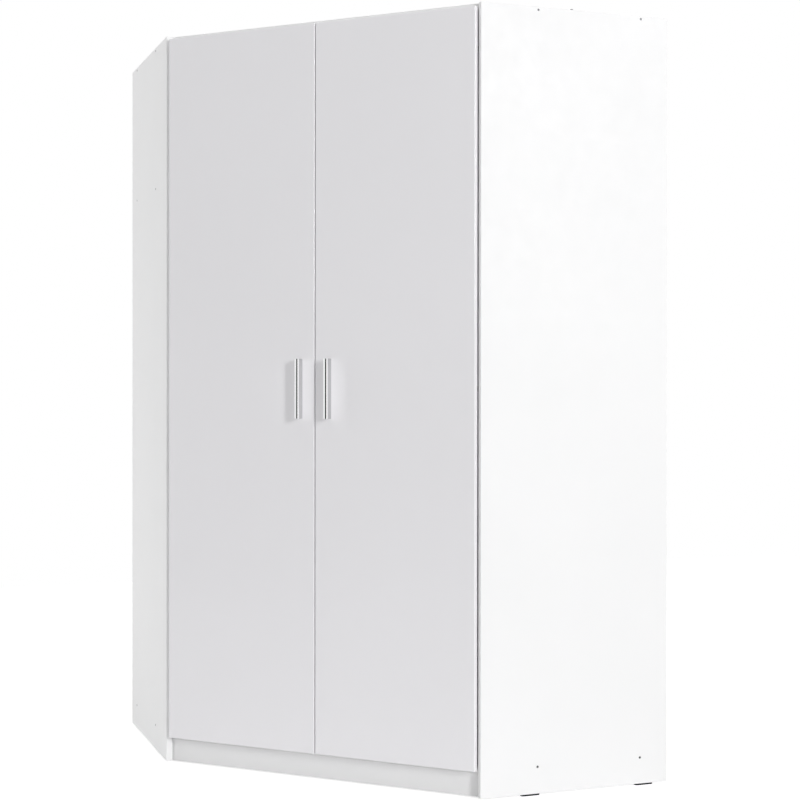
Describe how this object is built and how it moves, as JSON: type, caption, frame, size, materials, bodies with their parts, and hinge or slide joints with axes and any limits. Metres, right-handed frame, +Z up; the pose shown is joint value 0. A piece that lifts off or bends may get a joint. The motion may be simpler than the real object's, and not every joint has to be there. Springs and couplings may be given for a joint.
{
  "type": "corner wardrobe",
  "caption": "Corner wardrobe with a diagonal front, hinged doors, hat shelf, clothes rail and adjustable shelves.",
  "frame": {"origin": "on the floor, in the middle of the square that the wardrobe fills in plan", "axes": "+Z up; the walls of the room are at -X (left) and +Y (right); the doors face the diagonal between +X and -Y"},
  "size_m": [1.17, 1.17, 1.973],
  "materials": {
    "white_board": "white melamine on chipboard, satin",
    "gloss_front": "white high-gloss foil on chipboard",
    "back_sheet": "hardboard, printed white inside and bare brown outside, matt",
    "white_plastic": "white plastic, matt",
    "black_plastic": "black plastic, matt",
    "aluminium": "satin anodised",
    "bright_steel": "nickel-plated pressed steel",
    "screw_steel": "zinc-plated, slightly dull"
  },
  "bodies": {
    "carcass": {"side_panel_left": "white_board", "side_panel_right": "white_board", "top_board": "white_board", "bottom_board": "white_board", "partition": "white_board", "hat_shelf": "white_board", "shelf_1": "white_board", "shelf_2": "white_board", "shelf_3": "white_board", "shelf_4": "white_board", "plinth": "white_board", "corner_post": "white_board", "back_left_1": "back_sheet", "back_left_2": "back_sheet", "back_right_1": "back_sheet", "back_right_2": "back_sheet", "back_joint_strip": "white_plastic", "clothes_rail": "bright_steel", "rail_socket": "bright_steel", "rail_hanger": "bright_steel", "glide_left_front": "black_plastic", "glide_left_rear": "black_plastic", "glide_right_front": "black_plastic", "glide_right_rear": "black_plastic", "glide_corner": "black_plastic", "edge_plug_left": "black_plastic", "edge_plug_right": "black_plastic", "screw_left_bottom_front": "screw_steel", "screw_left_bottom_rear": "screw_steel", "screw_left_middle_front": "screw_steel", "screw_left_middle_rear": "screw_steel", "screw_left_top_front": "screw_steel", "screw_left_top_rear": "screw_steel", "screw_right_bottom_front": "screw_steel", "screw_right_bottom_rear": "screw_steel", "screw_right_top_front": "screw_steel", "screw_right_top_rear": "screw_steel", "hinge_plate_left_1": "bright_steel", "hinge_plate_left_2": "bright_steel", "hinge_plate_left_3": "bright_steel", "hinge_plate_right_1": "bright_steel", "hinge_plate_right_2": "bright_steel", "hinge_plate_right_3": "bright_steel", "hinge_arm_left_1": "bright_steel", "hinge_arm_left_2": "bright_steel", "hinge_arm_left_3": "bright_steel", "hinge_arm_right_1": "bright_steel", "hinge_arm_right_2": "bright_steel", "hinge_arm_right_3": "bright_steel"},
    "left_door": {"door_left": "gloss_front", "handle_left": "aluminium", "hinge_cup_left_1": "bright_steel", "hinge_cup_left_2": "bright_steel", "hinge_cup_left_3": "bright_steel"},
    "right_door": {"door_right": "gloss_front", "handle_right": "aluminium", "hinge_cup_right_1": "bright_steel", "hinge_cup_right_2": "bright_steel", "hinge_cup_right_3": "bright_steel"}
  },
  "joints": [
    {"name": "left_door_hinge", "type": "hinge", "parent": "carcass", "child": "left_door", "pos_m": [-0.05037, -0.56781, 1.0155], "axis": [0, 0, -1], "range_deg": [0, 100]},
    {"name": "right_door_hinge", "type": "hinge", "parent": "carcass", "child": "right_door", "pos_m": [0.56781, 0.05037, 1.0155], "axis": [0, 0, 1], "range_deg": [0, 100]}
  ]
}
